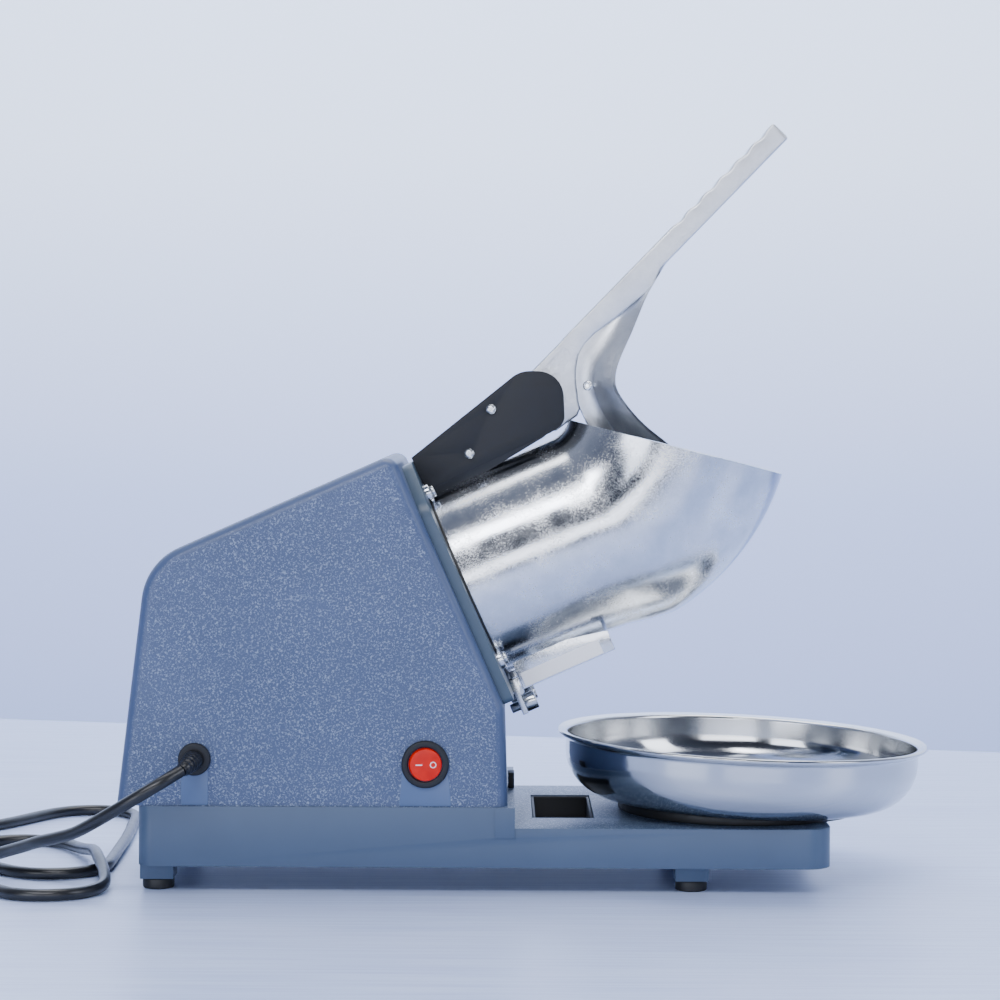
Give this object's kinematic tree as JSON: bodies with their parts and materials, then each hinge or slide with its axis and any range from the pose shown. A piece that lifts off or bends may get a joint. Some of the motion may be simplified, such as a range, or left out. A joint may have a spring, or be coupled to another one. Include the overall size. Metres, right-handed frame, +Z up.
{
  "type": "shaved ice machine",
  "caption": "Electric ice shaver: sloped motor housing on a base, inclined cast hopper with a hand lever and pusher, blade disc, and a round steel dish in front.",
  "frame": {"origin": "on the floor, at the middle of the box round the machine without its cord", "axes": "+X from the back of the housing to the dish, +Y to the far side when the switch faces you, +Z up"},
  "size_m": [0.7311, 0.3548, 0.4941],
  "materials": {
    "housing_plastic": "fine moulded grain",
    "base_plastic": "smooth moulded",
    "flange_paint": "satin paint",
    "cast_aluminium": "polished casting",
    "stainless": "spun and polished",
    "black_plastic": "fine matt",
    "rubber": "moulded",
    "cord_pvc": "extruded, satin",
    "red_plastic": "translucent, polished",
    "blank_label": "white film",
    "zinc_steel": "zinc plated",
    "ground_steel": "ground",
    "disc_steel": "turned",
    "dark_cast": "black paint on casting",
    "motor_steel": "drawn shell",
    "lamination": "stacked laminations",
    "copper_winding": "enamelled copper wire",
    "bronze": "sintered",
    "brass_pins": "plated",
    "circuit_board": "lacquered"
  },
  "bodies": {
    "machine": {"base": "base_plastic", "foot_rear_left": "rubber", "foot_rear_right": "rubber", "foot_front_left": "rubber", "foot_front_right": "rubber", "drain_well": "black_plastic", "dish_seat": "rubber", "front_tab": "black_plastic", "housing": "housing_plastic", "housing_screws": "zinc_steel", "top_panel": "housing_plastic", "flange_plate": "flange_paint", "flange_screws": "zinc_steel", "blade_chamber": "dark_cast", "hopper": "cast_aluminium", "chute_guard": "cast_aluminium", "guard_label": "blank_label", "adjuster_block": "zinc_steel", "adjuster_screws": "zinc_steel", "hinge_bracket": "dark_cast", "cover_left": "black_plastic", "cover_right": "black_plastic", "cover_screws": "zinc_steel", "pivot_pin": "ground_steel", "microswitch": "black_plastic", "switch_bezel": "black_plastic", "cord_gland": "black_plastic", "strain_relief": "cord_pvc", "cord": "cord_pvc", "plug": "black_plastic", "plug_pins": "brass_pins", "motor_can": "motor_steel", "motor_front_cap": "dark_cast", "motor_rear_cap": "dark_cast", "stator": "copper_winding", "bearing_front": "ground_steel", "bearing_rear": "ground_steel", "shaft_seal": "rubber", "motor_bracket": "dark_cast", "power_board": "circuit_board"},
    "lever": {"lever": "cast_aluminium", "pusher": "cast_aluminium", "pusher_rivets": "zinc_steel", "bush_left": "bronze", "bush_right": "bronze"},
    "rotor": {"rotor_core": "lamination", "rotor_shaft": "ground_steel", "fan": "black_plastic", "blade_disc": "disc_steel", "blades": "ground_steel", "blade_screws": "zinc_steel"},
    "rocker": {"switch_rocker": "red_plastic"},
    "micro_button": {"microswitch_button": "red_plastic"},
    "dish": {"dish": "stainless"}
  },
  "joints": [
    {"name": "lever_hinge", "type": "hinge", "parent": "machine", "child": "lever", "pos_m": [0.00305, 0, 0.30602], "axis": [0, 1, 0], "range_deg": [-40, 56]},
    {"name": "rotor_spin", "type": "hinge", "parent": "machine", "child": "rotor", "pos_m": [-0.043, 0, 0.191], "axis": [0.9135, 0, 0.4067], "continuous": true},
    {"name": "rocker_tilt", "type": "hinge", "parent": "machine", "child": "rocker", "pos_m": [-0.0675, -0.0925, 0.082], "axis": [0, 0, 1], "range_deg": [-16, 0]},
    {"name": "micro_press", "type": "slide", "parent": "machine", "child": "micro_button", "axis": [0.9135, 0, 0.4067], "range_m": [-0.0015, 0], "stiffness_N_per_m": 150},
    {"name": "dish_slide", "type": "slide", "parent": "machine", "child": "dish", "axis": [1, 0, 0], "range_m": [0, 0.25]}
  ]
}
